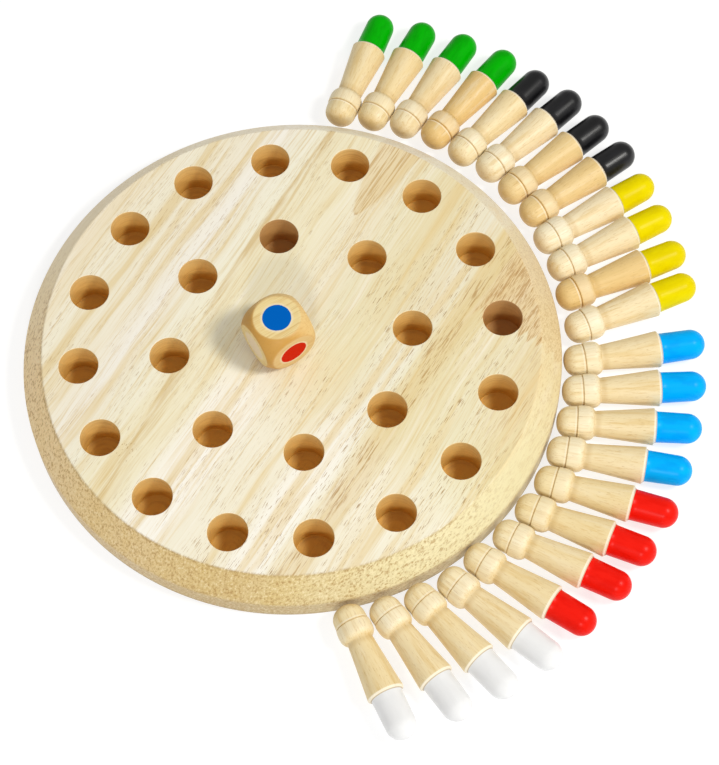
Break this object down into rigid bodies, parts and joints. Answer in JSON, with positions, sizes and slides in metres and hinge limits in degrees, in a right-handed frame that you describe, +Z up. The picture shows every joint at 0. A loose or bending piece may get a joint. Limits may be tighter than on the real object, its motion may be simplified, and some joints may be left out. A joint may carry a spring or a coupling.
{
  "type": "wooden peg memory game",
  "caption": "Round wooden memory board with two rings of blind holes, turned pegs with painted tips fanned beside it, and a rounded colour die on top.",
  "frame": {"origin": "middle of the board's underside, on the table that the pegs lie on", "axes": "+Z up out of the board's drilled face; +Y from the middle through the first hole of each ring; +X to the right of that, where the pegs lie"},
  "size_m": [0.279, 0.3293, 0.0443],
  "materials": {
    "board_wood": "planed, sanded and oiled pale hardwood, edge-glued staves",
    "die_wood": "tumbled pale hardwood with a painted dot on each face",
    "peg_green": "turned and waxed, tip dipped in gloss green paint",
    "peg_black": "turned and waxed, tip dipped in gloss black paint",
    "peg_yellow": "turned and waxed, tip dipped in gloss yellow paint",
    "peg_blue": "turned and waxed, tip dipped in gloss blue paint",
    "peg_red": "turned and waxed, tip dipped in gloss red paint",
    "peg_white": "turned and waxed, tip dipped in gloss white paint"
  },
  "bodies": {
    "board": {"board": "board_wood"},
    "die": {"die": "die_wood"},
    "peg_green_1": {"peg_green_1": "peg_green"},
    "peg_green_2": {"peg_green_2": "peg_green"},
    "peg_green_3": {"peg_green_3": "peg_green"},
    "peg_green_4": {"peg_green_4": "peg_green"},
    "peg_black_1": {"peg_black_1": "peg_black"},
    "peg_black_2": {"peg_black_2": "peg_black"},
    "peg_black_3": {"peg_black_3": "peg_black"},
    "peg_black_4": {"peg_black_4": "peg_black"},
    "peg_yellow_1": {"peg_yellow_1": "peg_yellow"},
    "peg_yellow_2": {"peg_yellow_2": "peg_yellow"},
    "peg_yellow_3": {"peg_yellow_3": "peg_yellow"},
    "peg_yellow_4": {"peg_yellow_4": "peg_yellow"},
    "peg_blue_1": {"peg_blue_1": "peg_blue"},
    "peg_blue_2": {"peg_blue_2": "peg_blue"},
    "peg_blue_3": {"peg_blue_3": "peg_blue"},
    "peg_blue_4": {"peg_blue_4": "peg_blue"},
    "peg_red_1": {"peg_red_1": "peg_red"},
    "peg_red_2": {"peg_red_2": "peg_red"},
    "peg_red_3": {"peg_red_3": "peg_red"},
    "peg_red_4": {"peg_red_4": "peg_red"},
    "peg_white_1": {"peg_white_1": "peg_white"},
    "peg_white_2": {"peg_white_2": "peg_white"},
    "peg_white_3": {"peg_white_3": "peg_white"},
    "peg_white_4": {"peg_white_4": "peg_white"}
  },
  "joints": [
    {"name": "die_lift", "type": "slide", "parent": "board", "child": "die", "axis": [0, 0, 1], "range_m": [0, 0.09]},
    {"name": "peg_green_1_lift", "type": "slide", "parent": "board", "child": "peg_green_1", "axis": [0, 0, 1], "range_m": [0, 0.09]},
    {"name": "peg_green_2_lift", "type": "slide", "parent": "board", "child": "peg_green_2", "axis": [0, 0, 1], "range_m": [0, 0.09]},
    {"name": "peg_green_3_lift", "type": "slide", "parent": "board", "child": "peg_green_3", "axis": [0, 0, 1], "range_m": [0, 0.09]},
    {"name": "peg_green_4_lift", "type": "slide", "parent": "board", "child": "peg_green_4", "axis": [0, 0, 1], "range_m": [0, 0.09]},
    {"name": "peg_black_1_lift", "type": "slide", "parent": "board", "child": "peg_black_1", "axis": [0, 0, 1], "range_m": [0, 0.09]},
    {"name": "peg_black_2_lift", "type": "slide", "parent": "board", "child": "peg_black_2", "axis": [0, 0, 1], "range_m": [0, 0.09]},
    {"name": "peg_black_3_lift", "type": "slide", "parent": "board", "child": "peg_black_3", "axis": [0, 0, 1], "range_m": [0, 0.09]},
    {"name": "peg_black_4_lift", "type": "slide", "parent": "board", "child": "peg_black_4", "axis": [0, 0, 1], "range_m": [0, 0.09]},
    {"name": "peg_yellow_1_lift", "type": "slide", "parent": "board", "child": "peg_yellow_1", "axis": [0, 0, 1], "range_m": [0, 0.09]},
    {"name": "peg_yellow_2_lift", "type": "slide", "parent": "board", "child": "peg_yellow_2", "axis": [0, 0, 1], "range_m": [0, 0.09]},
    {"name": "peg_yellow_3_lift", "type": "slide", "parent": "board", "child": "peg_yellow_3", "axis": [0, 0, 1], "range_m": [0, 0.09]},
    {"name": "peg_yellow_4_lift", "type": "slide", "parent": "board", "child": "peg_yellow_4", "axis": [0, 0, 1], "range_m": [0, 0.09]},
    {"name": "peg_blue_1_lift", "type": "slide", "parent": "board", "child": "peg_blue_1", "axis": [0, 0, 1], "range_m": [0, 0.09]},
    {"name": "peg_blue_2_lift", "type": "slide", "parent": "board", "child": "peg_blue_2", "axis": [0, 0, 1], "range_m": [0, 0.09]},
    {"name": "peg_blue_3_lift", "type": "slide", "parent": "board", "child": "peg_blue_3", "axis": [0, 0, 1], "range_m": [0, 0.09]},
    {"name": "peg_blue_4_lift", "type": "slide", "parent": "board", "child": "peg_blue_4", "axis": [0, 0, 1], "range_m": [0, 0.09]},
    {"name": "peg_red_1_lift", "type": "slide", "parent": "board", "child": "peg_red_1", "axis": [0, 0, 1], "range_m": [0, 0.09]},
    {"name": "peg_red_2_lift", "type": "slide", "parent": "board", "child": "peg_red_2", "axis": [0, 0, 1], "range_m": [0, 0.09]},
    {"name": "peg_red_3_lift", "type": "slide", "parent": "board", "child": "peg_red_3", "axis": [0, 0, 1], "range_m": [0, 0.09]},
    {"name": "peg_red_4_lift", "type": "slide", "parent": "board", "child": "peg_red_4", "axis": [0, 0, 1], "range_m": [0, 0.09]},
    {"name": "peg_white_1_lift", "type": "slide", "parent": "board", "child": "peg_white_1", "axis": [0, 0, 1], "range_m": [0, 0.09]},
    {"name": "peg_white_2_lift", "type": "slide", "parent": "board", "child": "peg_white_2", "axis": [0, 0, 1], "range_m": [0, 0.09]},
    {"name": "peg_white_3_lift", "type": "slide", "parent": "board", "child": "peg_white_3", "axis": [0, 0, 1], "range_m": [0, 0.09]},
    {"name": "peg_white_4_lift", "type": "slide", "parent": "board", "child": "peg_white_4", "axis": [0, 0, 1], "range_m": [0, 0.09]}
  ]
}
